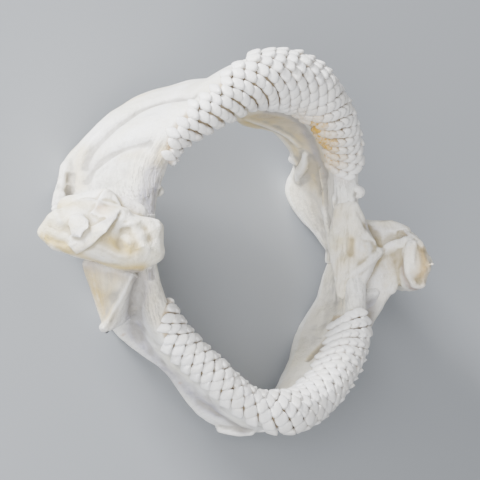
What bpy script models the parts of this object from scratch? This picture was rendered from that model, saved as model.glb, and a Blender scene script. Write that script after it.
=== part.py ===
"""Dried stingray jaw at life size: the upper and lower jaw cartilages in left and right halves, each
with its pavement of teeth, and the dried lump at each jaw joint. The jaw lies on its back, teeth up."""

import math
import random

import bmesh
import bpy
import numpy as np

MM = 0.001
GAP = 0.3  # mm, thin cut that parts neighbouring pieces
BALL_FINENESS = 2  # how finely a ball is faceted

# The jaw is drawn in its own frame, in mm: X across, Y up towards the upper jaw, Z out of the mouth.
# It is then leant back by this angle, so that it lies on the back rims of its upper and lower jaw.
LEAN_BACK = math.radians(22.0)
REST_CUT = 0.35  # mm, depth of the small flats it lies on

STEP = 0.01  # share of a half jaw, or of a turn, over which a direction is measured
MEASURES = 201  # points at which the length of a half jaw is measured
STATIONS = 20  # cross-sections along one half of a jaw, from the symphysis to the joint
FRONT_POINTS = 9  # points round the front edge of a cross-section
SIDE_POINTS = 4  # points between the front edge and the back rim, on each face
BACK_POINTS = 4  # points round the back rim

# Each half jaw is a bar between a thick front edge, which bears the teeth, and a rolled back rim.
# Rows run from the symphysis to the joint: centre of the edge x, y, z and its radius, all in mm.
# The radius of the front edge is to the crowns of the teeth. A band's rows are the angles in degrees
# that it covers round the front edge, from inside the mouth (negative) to outside.
UPPER = {
    "front": [
        (0, 36.2, 5.6, 7.3),
        (10.3, 34.1, 5.8, 6.5),
        (19.6, 27.5, 4.2, 5.6),
        (27.2, 19.8, 0.4, 4.7),
        (29.8, 11.3, -0.8, 4.3),
        (31.8, 0, -0.2, 4.5),
    ],
    "back": [
        (0, 32.4, -13.2, 2.9),
        (10.6, 31.2, -16.2, 2.8),
        (21.8, 26.4, -17.4, 3.0),
        (30.6, 19.8, -17.8, 3.2),
        (36.2, 11.8, -20.4, 3.8),
        (38.3, 0, -10.5, 2.8),
    ],
    "web": [2.8, 2.4, 2.2, 2.3, 2.8, 3.4],
    "bow": [0, 0.4, 1.0, 1.3, 1.2, 0.4],
    "band": [(-124, 84), (-122, 80), (-112, 68), (-100, 56), (-90, 50), (-90, 50)],
    "band_end": 0.70,
}
LOWER = {
    "front": [
        (0, -37.6, 14.4, 5.2),
        (10.0, -34.9, 13.0, 4.8),
        (19.4, -28.9, 10.5, 4.4),
        (27.8, -20.9, 6.2, 4.4),
        (30.6, -10.9, 3.6, 4.2),
        (31.6, 0, 0.6, 4.4),
    ],
    "back": [
        (0, -41.0, 3.6, 2.2),
        (10.6, -38.6, 0.2, 2.2),
        (20.2, -29.0, -1.0, 2.4),
        (28.8, -20.8, -8.6, 2.7),
        (36.0, -12.2, -7.4, 3.0),
        (38.7, 0, -11.0, 3.0),
    ],
    "web": [2.8, 2.4, 2.1, 2.1, 2.8, 3.4],
    "bow": [0, -0.4, -0.6, -0.4, 0.2, 0.4],
    "band": [(-134, 92), (-142, 90), (-150, 84), (-146, 74), (-140, 66), (-140, 60)],
    "band_end": 0.73,
}

# Teeth stand in files across the band, every second file half a tooth further, like diamond tiles.
PITCH = 3.5  # mm, from one tooth to the next along the band
PITCH_ACROSS = 4.4  # mm, from one tooth to the next in a file
CROWN = 1.5  # mm, height of the crowns above the cartilage
ROOT_DEPTH = 0.9  # mm, how deep a root is sunk
ROOT_REACH = 0.95  # mm, half diagonal of the root along the band
CROWN_REACH = 1.5  # mm, half diagonal of the crown along the band
CROWN_HEIGHTS = (0.9, 1.08)  # least and greatest height of a crown, as shares of CROWN
CROWN_WIDTHS = (0.94, 1.0)  # least and greatest width, as shares of CROWN_REACH
SPREAD_LIMIT = 1.2  # how much wider a crown may get where the files fan out
CUSP_LEAN = 0.5  # mm, how far the outermost crowns lean out of the mouth
CUSP_START = 0.6  # share of the band, from the inner to the outer edge, where that lean begins
MIDLINE_CLEARANCE = 0.05  # mm, kept free of teeth on each side of the cut at the symphysis
SEED = 11
BAND_MIDDLE = -18  # degrees, the angle of the middle row of teeth
BAND_ROUNDING = 0.14  # share of the half jaw over which the end of a band closes in a round

# The dried lump at each joint wraps groups of balls x, y, z and radius in mm. The two sides dried into
# different shapes: the right one is a broad lens with a crest, the left one a lobe at the end of a web.
JOINTS = {
    "right": [
        [
            (54.9, -1.6, -7.0, 1.4),
            (53.7, 1.2, -4.0, 2.2),
            (48.4, 3.2, 0, 3.0),
            (48.4, -3.5, 1.8, 3.6),
            (44.4, 1.6, 6.0, 3.4),
            (44.4, -4.4, 5.8, 3.6),
            (39.2, 0, 9.7, 3.2),
            (39.0, -4.0, 9.8, 3.2),
            (41.0, -6.2, 8.0, 3.0),
        ],
        [
            (48.4, 3.8, -6.4, 3.0),
            (44.0, 7.8, 0.4, 1.0),
            (39.0, 3.6, 5.0, 2.2),
            (41.5, -1.4, 2.8, 4.0),
            (48.4, -1.4, -3.8, 4.0),
        ],
        [
            (49.0, -0.8, -8.4, 2.0),
            (42.0, 0.2, -7.4, 4.0),
            (36.4, 0.8, -3.4, 4.4),
            (35.2, -3.2, 2.0, 4.0),
            (43.0, -4.8, -3.0, 2.6),
        ],
    ],
    "left": [
        [
            (32.6, 4.0, -0.6, 2.6),
            (39.2, 5.6, 4.0, 1.4),
            (41.8, 4.0, 6.6, 1.4),
            (43.0, 0, 6.2, 1.6),
            (41.2, -8.6, 4.8, 1.5),
            (33.0, -8.6, -0.5, 2.8),
        ],
        [
            (33.0, -6.4, -0.4, 2.6),
            (40.0, -10.0, 4.2, 1.5),
            (38.6, -12.6, 3.0, 1.5),
            (37.4, -19.4, 1.2, 1.5),
            (34.2, -15.0, -0.4, 2.2),
        ],
        [
            (42.0, 1.0, 10.8, 2.6),
            (41.8, -3.0, 11.8, 3.4),
            (42.8, -5.8, 10.8, 2.8),
            (45.8, -2.0, 10.2, 2.2),
            (46.4, 3.8, 4.0, 2.4),
            (48.0, -4.0, 4.2, 4.2),
            (52.2, 0, -3.2, 3.6),
            (55.0, 0, -7.0, 1.6),
        ],
        [
            (49.0, -0.8, -8.4, 2.0),
            (42.0, 0.2, -7.4, 4.0),
            (36.4, 0.8, -3.4, 4.4),
            (45.0, 1.8, 0.8, 3.0),
            (43.0, -4.8, -1.0, 2.6),
        ],
    ],
}

# The wing of the lower jaw, a fin below the joint
WING = [
    (45.2, -7.8, -3.8, 1.5),
    (42.4, -15.6, -2.4, 1.5),
    (40.8, -21.0, -1.0, 1.4),
    (38.4, -10.4, 3.6, 1.2),
    (34.0, -18.4, -1.2, 1.5),
    (32.6, -11.8, 0, 2.0),
    (37.4, -8.6, -4.4, 3.0),
]

CARTILAGE = ((0.80, 0.77, 0.71), 0.55)
DRIED_TISSUE = ((0.76, 0.71, 0.62), 0.6)


def curve_at(rows, t):
    """Smooth curve through evenly spaced rows, level across the symphysis at t = 0."""
    points = np.asarray(rows, float).reshape(len(rows), -1)
    mirrored = points[1].copy()
    if points.shape[1] == 4:
        mirrored[0] *= -1
    points = np.vstack([mirrored, points, 2 * points[-1] - points[-2]])
    place = min(max(t, 0.0), 1.0) * (len(rows) - 1)
    i = min(int(place), len(rows) - 2)
    f = place - i
    a, b, c, d = points[i : i + 4]
    square = 2 * a - 5 * b + 4 * c - d
    cube = 3 * b - a - 3 * c + d
    return b + 0.5 * ((c - a) * f + square * f**2 + cube * f**3)


def frame_at(jaw, t):
    """Front and back rows at t, the direction from back to front, and the outward direction."""
    front, back = curve_at(jaw["front"], t), curve_at(jaw["back"], t)
    before, after = max(t - STEP, 0), min(t + STEP, 1)
    along = sum(curve_at(jaw[key], after) - curve_at(jaw[key], before) for key in ("front", "back"))[:3]
    if t == 0:
        along = np.array([1.0, 0, 0])
    forward = front[:3] - back[:3]
    forward /= np.linalg.norm(forward)
    along -= forward * (along @ forward)
    out = np.cross(along / np.linalg.norm(along), forward)
    if out @ np.array([front[0], front[1], 0]) < 0:
        out = -out
    return front, back, forward, out


def face_point(jaw, t, share, side):
    """Point on the outer (1) or inner (-1) face, a share of the way from front edge to back rim."""
    front, back, _, out = frame_at(jaw, t)
    web, bow = curve_at(jaw["web"], t)[0], curve_at(jaw["bow"], t)[0]
    edge = front[3] - CROWN if share < 0.5 else back[3]
    thick = web + (edge - web) * math.cos(math.pi * share) ** 2
    middle = front[:3] + (back[:3] - front[:3]) * share + out * bow * math.sin(math.pi * share)
    return middle + side * thick * out


def edge_point(centre, radius, forward, out, angle):
    a = math.radians(angle)
    return centre + radius * (forward * math.cos(a) + out * math.sin(a))


def skin_point(jaw, t, angle, lift=0.0):
    """Point above the cartilage at an angle round the front edge, which runs on to the inner face."""
    front, back, forward, out = frame_at(jaw, t)
    if angle > -90:
        return edge_point(front[:3], front[3] - CROWN + lift, forward, out, angle)
    past = math.radians(-90 - angle) * front[3]
    return face_point(jaw, t, past / np.linalg.norm(front[:3] - back[:3]), -1) - out * lift


def section(jaw, t):
    """Closed outline of one cross-section, from inside the mouth over the front edge and back."""
    front, back, forward, out = frame_at(jaw, t)
    shares = [i / (SIDE_POINTS + 1) for i in range(1, SIDE_POINTS + 1)]
    front_angles = np.linspace(-90, 90, FRONT_POINTS)
    back_angles = np.linspace(90, 270, BACK_POINTS)
    points = [edge_point(front[:3], front[3] - CROWN, forward, out, a) for a in front_angles]
    points += [face_point(jaw, t, share, 1) for share in shares]
    points += [edge_point(back[:3], back[3], forward, out, a) for a in back_angles]
    points += [face_point(jaw, t, share, -1) for share in reversed(shares)]
    return np.array(points)


def add_object(name, bm, collection):
    bm.normal_update()
    bmesh.ops.recalc_face_normals(bm, faces=bm.faces)
    mesh = bpy.data.meshes.new(name)
    bm.to_mesh(mesh)
    bm.free()
    obj = bpy.data.objects.new(name, mesh)
    collection.objects.link(obj)
    return obj


def cartilage_half(name, jaw, side, collection):
    """One half of a jaw's cartilage, lofted through its cross-sections and closed at both ends."""
    outlines = [section(jaw, i / STATIONS) for i in range(STATIONS + 1)]
    outlines[0][:, 0] = GAP / 2
    outlines[-1][:, 1] = math.copysign(GAP / 2, jaw["front"][0][1])
    bm = bmesh.new()
    rings = [[bm.verts.new(p * (side, 1, 1)) for p in outline] for outline in outlines]
    for ring, following in zip(rings, rings[1:]):
        for k in range(len(ring)):
            bm.faces.new((ring[k - 1], ring[k], following[k], following[k - 1]))
    bm.faces.new(rings[0])
    bm.faces.new(rings[-1])
    return add_object(name, bm, collection)


def band_limits(jaw, t):
    """Inner and outer angle of the band of teeth, closing in a round towards its end."""
    low, high = curve_at(jaw["band"], t)
    past = (t - jaw["band_end"]) / BAND_ROUNDING + 1
    share = math.sqrt(max(1 - max(past, 0) ** 2, 0))
    return BAND_MIDDLE + (low - BAND_MIDDLE) * share, BAND_MIDDLE + (high - BAND_MIDDLE) * share


def tooth_places(jaw):
    """Yield t, angle, how far out of the mouth, and width, of each tooth of half a band."""
    steps = np.linspace(0, 1, MEASURES)
    middle = np.array([skin_point(jaw, t, BAND_MIDDLE, CROWN) for t in steps])
    length = np.concatenate([[0], np.cumsum(np.linalg.norm(np.diff(middle, axis=0), axis=1))])
    files = int(np.interp(jaw["band_end"], steps, length) / (PITCH / 2))
    for i in range(files):
        t = np.interp((i + 0.5) * PITCH / 2, length, steps)
        low, high = band_limits(jaw, t)
        step = math.degrees(PITCH_ACROSS / curve_at(jaw["front"], t)[3])
        shift = 0.5 * (i % 2)
        first = math.ceil((low - BAND_MIDDLE) / step - shift)
        last = math.floor((high - BAND_MIDDLE) / step - shift)
        for row in range(first, last + 1):
            angle = BAND_MIDDLE + (row + shift) * step
            yield t, angle, (angle - low) / (high - low), stretch_at(jaw, t, angle)


def stretch_at(jaw, t, angle):
    """How much wider apart the files stand at this angle than in the middle of the band."""
    here, middle = (
        np.linalg.norm(skin_point(jaw, t + STEP, a, CROWN) - skin_point(jaw, t - STEP, a, CROWN))
        for a in (angle, BAND_MIDDLE)
    )
    return min(here / middle, SPREAD_LIMIT)


def add_tooth(jaw, t, angle, outwards, spacing, side, draw, collection):
    """A diamond crown on a narrower root, square to the cartilage; outer ones lean out of the mouth."""
    place = skin_point(jaw, t, angle)
    turn = 360 * STEP
    along = skin_point(jaw, t + STEP, angle) - skin_point(jaw, t - STEP, angle)
    across = skin_point(jaw, t, angle + turn) - skin_point(jaw, t, angle - turn)
    along /= np.linalg.norm(along)
    across -= along * (across @ along)
    across /= np.linalg.norm(across)
    up = np.cross(along, across)
    if up @ (place - frame_at(jaw, t)[0][:3]) < 0:
        up = -up
    crown = CROWN * draw.uniform(*CROWN_HEIGHTS)
    reach = CROWN_REACH * draw.uniform(*CROWN_WIDTHS)
    depth = ROOT_DEPTH + crown
    cusp = CUSP_LEAN * max(outwards - CUSP_START, 0) / (1 - CUSP_START)
    bm = bmesh.new()
    bmesh.ops.create_cone(bm, cap_ends=True, segments=4, radius1=ROOT_REACH, radius2=reach, depth=depth)
    for v in bm.verts:
        height = v.co.z + depth / 2 - ROOT_DEPTH
        x = v.co.x * spacing
        y = v.co.y * PITCH_ACROSS / PITCH + cusp * max(height, 0) / crown
        p = place + along * x + across * y + up * height
        p[0] = max(p[0], GAP / 2 + MIDLINE_CLEARANCE)
        v.co = p * (side, 1, 1)
    add_object("tooth", bm, collection)


def ball_hull(name, balls, side, collection, grow=0.0):
    """The taut skin round a few balls."""
    bm = bmesh.new()
    for x, y, z, radius in balls:
        ball = bmesh.new()
        bmesh.ops.create_icosphere(ball, subdivisions=BALL_FINENESS, radius=radius + grow)
        for v in ball.verts:
            bm.verts.new((side * (v.co.x + x), v.co.y + y, v.co.z + z))
        ball.free()
    bmesh.ops.convex_hull(bm, input=bm.verts)
    bmesh.ops.delete(bm, geom=[v for v in bm.verts if not v.link_faces], context="VERTS")
    return add_object(name, bm, collection)


def joint_lump(name, word, side, pieces, tools, grow=0.0):
    """The dried lump at a jaw joint: the hulls of its balls, joined."""
    first, *others = JOINTS[word]
    lump = ball_hull(name, first, side, pieces, grow)
    for balls in others:
        ball_hull("tool", balls, side, tools, grow)
    apply_boolean(lump, tools, "UNION")
    return lump


def apply_boolean(target, tools, operation):
    """Join the tools to the target or cut them from it, then remove them."""
    modifier = target.modifiers.new("tools", "BOOLEAN")
    modifier.operation = operation
    modifier.solver = "MANIFOLD"
    modifier.operand_type = "COLLECTION"
    modifier.collection = tools
    depsgraph = bpy.context.evaluated_depsgraph_get()
    mesh = bpy.data.meshes.new_from_object(target.evaluated_get(depsgraph))
    target.modifiers.clear()
    target.data = mesh
    for tool in list(tools.objects):
        bpy.data.objects.remove(tool)


def keep_largest_shell(obj):
    """Drop every closed surface of the mesh but the one with most faces."""
    bm = bmesh.new()
    bm.from_mesh(obj.data)
    left = set(bm.faces)
    shells = []
    while left:
        shell, edge = set(), [left.pop()]
        while edge:
            face = edge.pop()
            shell.add(face)
            near = {f for e in face.edges for f in e.link_faces} & left
            left -= near
            edge += near
        shells.append(shell)
    shells.sort(key=len)
    crumbs = [face for shell in shells[:-1] for face in shell]
    bmesh.ops.delete(bm, geom=crumbs, context="FACES")
    bm.to_mesh(obj.data)
    bm.free()


def lay_down(objects):
    """Lean the jaw back, rest it on the floor over the origin, trim its small flats, and use metres."""
    c, s = math.cos(LEAN_BACK), math.sin(LEAN_BACK)
    turn = np.array([[1, 0, 0], [0, c, -s], [0, s, c]])
    places = {obj: np.array([v.co for v in obj.data.vertices]) @ turn.T for obj in objects}
    low = np.min([p.min(axis=0) for p in places.values()], axis=0)
    high = np.max([p.max(axis=0) for p in places.values()], axis=0)
    shift = np.array([-(low[0] + high[0]) / 2, -(low[1] + high[1]) / 2, -low[2] - REST_CUT])
    for obj, points in places.items():
        bm = bmesh.new()
        bm.from_mesh(obj.data)
        for v, p in zip(bm.verts, (points + shift) * MM):
            v.co = p
        if min(v.co.z for v in bm.verts) < 0:
            geom = bm.verts[:] + bm.edges[:] + bm.faces[:]
            bmesh.ops.bisect_plane(bm, geom=geom, plane_co=(0, 0, 0), plane_no=(0, 0, 1))
            for v in bm.verts:
                v.co.z = max(v.co.z, 0)
        bm.to_mesh(obj.data)
        bm.free()


def give_material(obj, colour, roughness):
    material = bpy.data.materials.new(obj.name)
    material.use_nodes = True
    shader = material.node_tree.nodes["Principled BSDF"]
    shader.inputs["Base Color"].default_value = (*colour, 1)
    shader.inputs["Roughness"].default_value = roughness
    obj.data.materials.clear()
    obj.data.materials.append(material)


def new_collection(name):
    collection = bpy.data.collections.new(name)
    bpy.context.scene.collection.children.link(collection)
    return collection


def main():
    for obj in list(bpy.data.objects):
        bpy.data.objects.remove(obj)
    pieces = new_collection("stingray_jaw")
    tools = new_collection("tools")
    parts = new_collection("parts")
    draw = random.Random(SEED)
    for side, word in ((-1, "right"), (1, "left")):
        for jaw, kind in ((UPPER, "upper_jaw"), (LOWER, "lower_jaw")):
            half = cartilage_half(f"{kind}_{word}", jaw, side, pieces)
            if kind == "lower_jaw":
                ball_hull("wing", WING, side, tools)
            for t, angle, outwards, spacing in tooth_places(jaw):
                add_tooth(jaw, t, angle, outwards, spacing, side, draw, tools)
            print(kind, word, "teeth", len(tools.objects))
            apply_boolean(half, tools, "UNION")
            joint_lump("lump_room", word, side, tools, parts, GAP)
            apply_boolean(half, tools, "DIFFERENCE")
            keep_largest_shell(half)
            give_material(half, *CARTILAGE)
        lump = joint_lump(f"jaw_joint_{word}", word, side, pieces, parts)
        give_material(lump, *DRIED_TISSUE)
    bpy.data.collections.remove(tools)
    bpy.data.collections.remove(parts)
    lay_down(list(pieces.objects))


main()
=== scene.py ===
# Dried stingray jaw, dressed over its CAD frame: four half jaws, two bands of teeth, two jaw joints
import math
import random

import bmesh
import bpy
import numpy as np
from mathutils import Matrix, Vector
from mathutils.bvhtree import BVHTree
from mathutils.kdtree import KDTree


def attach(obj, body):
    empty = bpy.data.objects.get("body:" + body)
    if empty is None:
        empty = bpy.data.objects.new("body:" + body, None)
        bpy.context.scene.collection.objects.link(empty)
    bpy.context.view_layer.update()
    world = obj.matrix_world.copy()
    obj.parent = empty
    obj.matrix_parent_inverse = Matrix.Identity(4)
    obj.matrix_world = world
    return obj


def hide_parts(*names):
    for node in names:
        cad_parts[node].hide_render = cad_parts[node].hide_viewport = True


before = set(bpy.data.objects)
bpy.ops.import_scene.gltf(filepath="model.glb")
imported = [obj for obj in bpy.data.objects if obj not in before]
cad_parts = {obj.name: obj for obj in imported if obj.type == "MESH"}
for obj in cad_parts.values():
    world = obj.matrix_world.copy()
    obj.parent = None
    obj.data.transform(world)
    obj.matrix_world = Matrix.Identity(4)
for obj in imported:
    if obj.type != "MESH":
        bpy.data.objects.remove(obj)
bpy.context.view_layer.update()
print("frame:", sorted(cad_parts))

# The jaw is shaped in its own frame, in mm: X across, Y up to the upper jaw, Z out of the mouth.
# Then it is leant back and lowered to the floor, as the CAD nodes are.
pose = {"lean": math.radians(22.0), "shift": (-0.145, 3.545, 17.815)}


def toFloor(points):
    c, s = math.cos(pose["lean"]), math.sin(pose["lean"])
    x, y, z = np.asarray(points, float).reshape(-1, 3).T
    return np.stack([x, y * c - z * s, y * s + z * c], 1) / 1000 + np.array(pose["shift"]) / 1000


# Camera, first, because spots of its picture place the small forms
view = {
    "azimuth": 43,  # degrees from straight in front, in the jaw's frame
    "roll": 4.5,
    "distance": 0.675,  # m
    "aside": 0.0027,
    "lens": 225,  # mm
    "sensor": 36,
    "size": 480,  # pixels of the picture
}


def viewAxes():
    az, roll = math.radians(view["azimuth"]), math.radians(view["roll"])
    back = Vector((-math.sin(az), 0, math.cos(az)))
    right = Vector((0, 1, 0)).cross(back).normalized()
    up = back.cross(right)
    right, up = right * math.cos(roll) + up * math.sin(roll), up * math.cos(roll) - right * math.sin(roll)
    lean = Matrix.Rotation(pose["lean"], 3, "X")
    return lean @ right, lean @ up, lean @ back


viewRight, viewUp, viewBack = viewAxes()
viewAim = Vector(pose["shift"]) / 1000 - viewRight * view["aside"]
viewPoint = viewAim + viewBack * view["distance"]


def addCamera():
    data = bpy.data.cameras.new("photoCamera")
    data.lens, data.sensor_width = view["lens"], view["sensor"]
    data.clip_start, data.clip_end = 0.05, 20
    camera = bpy.data.objects.new("photoCamera", data)
    bpy.context.collection.objects.link(camera)
    turn = Matrix((viewRight, viewUp, viewBack)).transposed().to_4x4()
    camera.matrix_world = Matrix.Translation(viewPoint) @ turn
    bpy.context.scene.camera = camera


def lineOfSight(x, y):  # through a point of the picture, in its pixels
    perPixel = view["sensor"] / view["lens"] / view["size"]
    half = view["size"] / 2
    return (viewRight * (x - half) * perPixel - viewUp * (y - half) * perPixel - viewBack).normalized()


# Materials
class Wire:
    # a node's output that can stand in a sum
    def __init__(self, finish, socket):
        self.finish, self.socket = finish, socket

    def work(self, operation, a, b):
        return self.finish.add("ShaderNodeMath", {"operation": operation}, {0: a, 1: b})

    def __add__(self, other):
        return self.work("ADD", self, other)

    def __radd__(self, other):
        return self.work("ADD", other, self)

    def __sub__(self, other):
        return self.work("SUBTRACT", self, other)

    def __rsub__(self, other):
        return self.work("SUBTRACT", other, self)

    def __mul__(self, other):
        return self.work("MULTIPLY", self, other)

    def __rmul__(self, other):
        return self.work("MULTIPLY", other, self)


class Finish:
    # a material, built from its shader
    def __init__(self, name, **fixed):
        self.material = bpy.data.materials.new(name)
        self.material.use_nodes = True
        self.tree = self.material.node_tree
        self.shader = self.tree.nodes["Principled BSDF"]
        for key, value in fixed.items():
            self.shader.inputs[key.replace("_", " ")].default_value = value

    def add(self, kind, settings=None, values=None, output=0):
        node = self.tree.nodes.new(kind)
        for key, value in (settings or {}).items():
            setattr(node, key, value)
        for key, value in (values or {}).items():
            self.put(node.inputs[key], value)
        return Wire(self, node.outputs[output])

    def put(self, socket, value):
        if isinstance(value, Wire):
            self.tree.links.new(value.socket, socket)
        else:
            socket.default_value = value

    def blend(self, factor, a, b):
        a, b = [c if isinstance(c, Wire) else (*c, 1) for c in (a, b)]
        settings = {"data_type": "RGBA", "clamp_factor": True}
        return self.add("ShaderNodeMix", settings, {0: factor, 6: a, 7: b}, output=2)

    def painted(self, name):
        return self.add("ShaderNodeAttribute", {"attribute_name": name}, output=2)

    def noise(self, vector, scale, detail=3, roughness=0.55):
        values = {"Vector": vector, "Scale": scale, "Detail": detail, "Roughness": roughness}
        return self.add("ShaderNodeTexNoise", None, values)

    def between(self, value, low, high):
        # a smooth step from 0 at low to 1 at high
        settings = {"interpolation_type": "SMOOTHSTEP"}
        return self.add("ShaderNodeMapRange", settings, {0: value, 1: low, 2: high})

    def bump(self, height, strength, distance, below=None):
        values = {"Height": height, "Strength": strength, "Distance": distance}
        if below is not None:
            values["Normal"] = below
        return self.add("ShaderNodeBump", None, values)


def dryCartilage(name, look):
    f = Finish(name, Roughness=0.5, Specular_IOR_Level=0.4, Subsurface_Weight=look["depth"])
    f.shader.inputs["Subsurface Radius"].default_value = (0.0016, 0.0016, 0.0014)
    f.shader.inputs["Subsurface Scale"].default_value = 1.0
    here = f.add("ShaderNodeTexCoord", output=3)
    lay = f.add("ShaderNodeAttribute", {"attribute_name": "lay"}, output=1)
    lengthwise = f.add("ShaderNodeMapping", None, {"Vector": lay, "Scale": (0.16, 1, 1)})
    tan, shade, stain, gum = [f.painted(key) for key in ("tan", "shade", "stain", "gum")]
    fibre, hollowShadeAndGrain, crest = [f.painted(key) for key in ("fibre", "hollowShadeAndGrain", "crest")]
    cloud = f.between(f.noise(here, 70, 4), 0.35, 0.68)
    mottle = f.between(f.noise(here, 260, 5, 0.62), 0.42, 0.72)
    fibres = f.noise(lengthwise, 1500, 4, 0.6)
    fleck = f.between(f.noise(here, 900, 3, 0.7), 0.66, 0.76)
    colour = f.blend(cloud, look["pale"], look["cream"])
    patch = f.between(f.noise(here, 150, 5, 0.65), 0.5, 0.74)
    grain = f.between(f.noise(here, 1300, 3, 0.7), 0.5, 0.7)
    colour = f.blend(mottle * 0.35, colour, look["cream"])
    colour = f.blend(patch * look["patches"], colour, look["tan"])
    colour = f.blend(grain * 0.16, colour, look["hollowShadeAndGrain"])
    colour = f.blend(tan * (0.75 + cloud * 0.35), colour, look["tan"])
    colour = f.blend(shade * (0.7 + mottle * 0.4), colour, look["shade"])
    colour = f.blend(fibre * f.between(fibres, 0.46, 0.62) * 0.75, colour, look["hollowShadeAndGrain"])
    colour = f.blend(gum * 0.8, colour, look["gum"])
    colour = f.blend(stain * (0.5 + mottle * 0.6), colour, look["stain"])
    # painted shade: a darker, warmer colour in the hollows of the skin
    colour = f.blend(hollowShadeAndGrain * (0.7 + mottle * 0.3), colour, look["hollowShadeAndGrain"])
    # painted highlight: a paler colour on the crests of the skin
    colour = f.blend(crest * 0.5, colour, look["crest"])
    colour = f.blend(fleck * (shade * 0.5 + tan * 0.35 + 0.08), colour, look["stain"])
    f.put(f.shader.inputs["Base Color"], colour)
    f.put(f.shader.inputs["Roughness"], 0.42 + mottle * 0.16 + fibre * 0.1)
    fine = f.bump(f.noise(here, 1600, 4, 0.65), 0.45, 0.0003)
    soft = f.bump(cloud + mottle * 0.8, 0.45, 0.0006, fine)
    drawn = f.bump(fibres * (0.2 + fibre), 0.7, 0.0006, soft)
    f.put(f.shader.inputs["Normal"], drawn)
    return f.material


def toothEnamel(name, look):
    f = Finish(name, Roughness=0.34, Specular_IOR_Level=0.5, Subsurface_Weight=0.04)
    f.shader.inputs["Subsurface Radius"].default_value = (0.0012, 0.0011, 0.0009)
    f.shader.inputs["Subsurface Scale"].default_value = 1.0
    here = f.add("ShaderNodeTexCoord", output=3)
    depth, stain, tone = [f.painted(key) for key in ("height", "stain", "tone")]
    cloud = f.between(f.noise(here, 350, 4), 0.35, 0.7)
    worn = f.between(f.noise(here, 1500, 4, 0.65), 0.4, 0.75)
    colour = f.blend(cloud * 0.6 + tone * 0.4, look["white"], look["ivory"])
    # painted shade: darker and browner towards the foot of each crown, in the grooves between crowns
    colour = f.blend(f.between(depth, 0.75, 0.25) * 0.7, colour, look["neckShade"])
    colour = f.blend(stain * (0.55 + worn * 0.6), colour, look["stain"])
    f.put(f.shader.inputs["Base Color"], colour)
    f.put(f.shader.inputs["Roughness"], 0.3 + worn * 0.2)
    fine = f.bump(f.noise(here, 2600, 3, 0.6), 0.2, 0.00015)
    f.put(f.shader.inputs["Normal"], f.bump(worn, 0.25, 0.0003, fine))
    return f.material


cartilageLook = {
    "pale": (0.92, 0.92, 0.92),
    "cream": (0.85, 0.835, 0.75),
    "tan": (0.62, 0.48, 0.20),
    "shade": (0.33, 0.32, 0.39),
    "gum": (0.46, 0.34, 0.18),
    "stain": (0.40, 0.19, 0.04),
    # painted shade for the hollows; also the colour of the grain specks and fibre lines
    "hollowShadeAndGrain": (0.34, 0.32, 0.29),
    # painted highlight for the crests
    "crest": (0.95, 0.94, 0.93),
    "patches": 0.16,
    "depth": 0.04,
}
tissueLook = {
    "pale": (0.91, 0.90, 0.88),
    "cream": (0.84, 0.80, 0.64),
    "tan": (0.62, 0.47, 0.17),
    "shade": (0.32, 0.29, 0.32),
    "gum": (0.60, 0.52, 0.42),
    "stain": (0.46, 0.23, 0.04),
    # painted shade for the hollows; also the colour of the grain specks and fibre lines
    "hollowShadeAndGrain": (0.37, 0.31, 0.19),
    # painted highlight for the crests
    "crest": (0.94, 0.93, 0.91),
    "patches": 0.42,
    "depth": 0.05,
}
enamelLook = {
    "white": (0.92, 0.92, 0.93),
    "ivory": (0.88, 0.86, 0.82),
    # painted shade at the foot of the crowns
    "neckShade": (0.46, 0.36, 0.24),
    "stain": (0.55, 0.32, 0.03),
}
cartilage = dryCartilage("dryCartilage", cartilageLook)
tissue = dryCartilage("driedTissue", tissueLook)
enamel = toothEnamel("toothEnamel", enamelLook)
print("materials:", len(bpy.data.materials))

# Half jaws
# Each half runs from the symphysis to the joint: the centre of its front edge and of its back rim
# with their radii, how thick the plate between them is and how far it bows out.
upperJaw = {
    "front": [
        (0, 36.2, 5.6, 5.8),
        (10.3, 34.1, 5.8, 5.0),
        (19.6, 27.5, 4.2, 4.1),
        (27.2, 19.8, 0.4, 3.2),
        (29.8, 11.3, -0.8, 2.8),
        (31.8, 0, -0.2, 3.0),
    ],
    "back": [
        (0, 32.4, -13.2, 2.9),
        (10.6, 31.2, -16.2, 2.8),
        (21.8, 26.4, -17.4, 3.0),
        (30.6, 19.8, -17.8, 3.2),
        (36.2, 11.8, -20.2, 4.0),
        (38.3, 0, -10.5, 2.8),
    ],
    "web": [2.8, 2.2, 1.8, 1.8, 2.2, 2.8],
    "bow": [0, 0.4, 1.0, 1.3, 1.2, 0.4],
    "band": [(-124, 84), (-122, 80), (-112, 68), (-100, 56), (-90, 50), (-90, 50)],
    "bandEnd": 0.70,
    "over": 4.0,  # mm that the half runs on past the joint line
    "middle": 0.6,  # mm that it runs on past the symphysis
}
lowerJaw = {
    "front": [
        (0, -37.6, 14.4, 3.7),
        (10.0, -34.9, 13.0, 3.3),
        (19.4, -28.9, 10.5, 2.9),
        (27.8, -20.9, 6.2, 2.9),
        (30.6, -10.9, 3.6, 2.7),
        (31.6, 0, 0.6, 2.9),
    ],
    "back": [
        (0, -41.0, 3.6, 2.2),
        (10.6, -38.8, 0.0, 2.2),
        (20.2, -29.2, -3.0, 2.4),
        (28.8, -20.8, -8.6, 2.7),
        (36.0, -12.2, -7.4, 3.0),
        (38.7, 0, -11.0, 3.0),
    ],
    "web": [2.8, 2.2, 1.8, 1.7, 2.2, 2.8],
    "bow": [0, -0.4, -0.6, -0.4, 0.2, 0.4],
    "band": [(-134, 92), (-142, 90), (-150, 84), (-146, 74), (-140, 66), (-140, 60)],
    "bandEnd": 0.73,
    "over": 4.0,
    "middle": 0.6,
}


def nudged(jaw, moves):
    # a jaw with some rows moved a little, as the two sides dried into different shapes
    made = {key: list(value) if isinstance(value, list) else value for key, value in jaw.items()}
    for (rows, i), move in moves.items():
        made[rows][i] = tuple(a + b for a, b in zip(made[rows][i], move))
    return made


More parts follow.
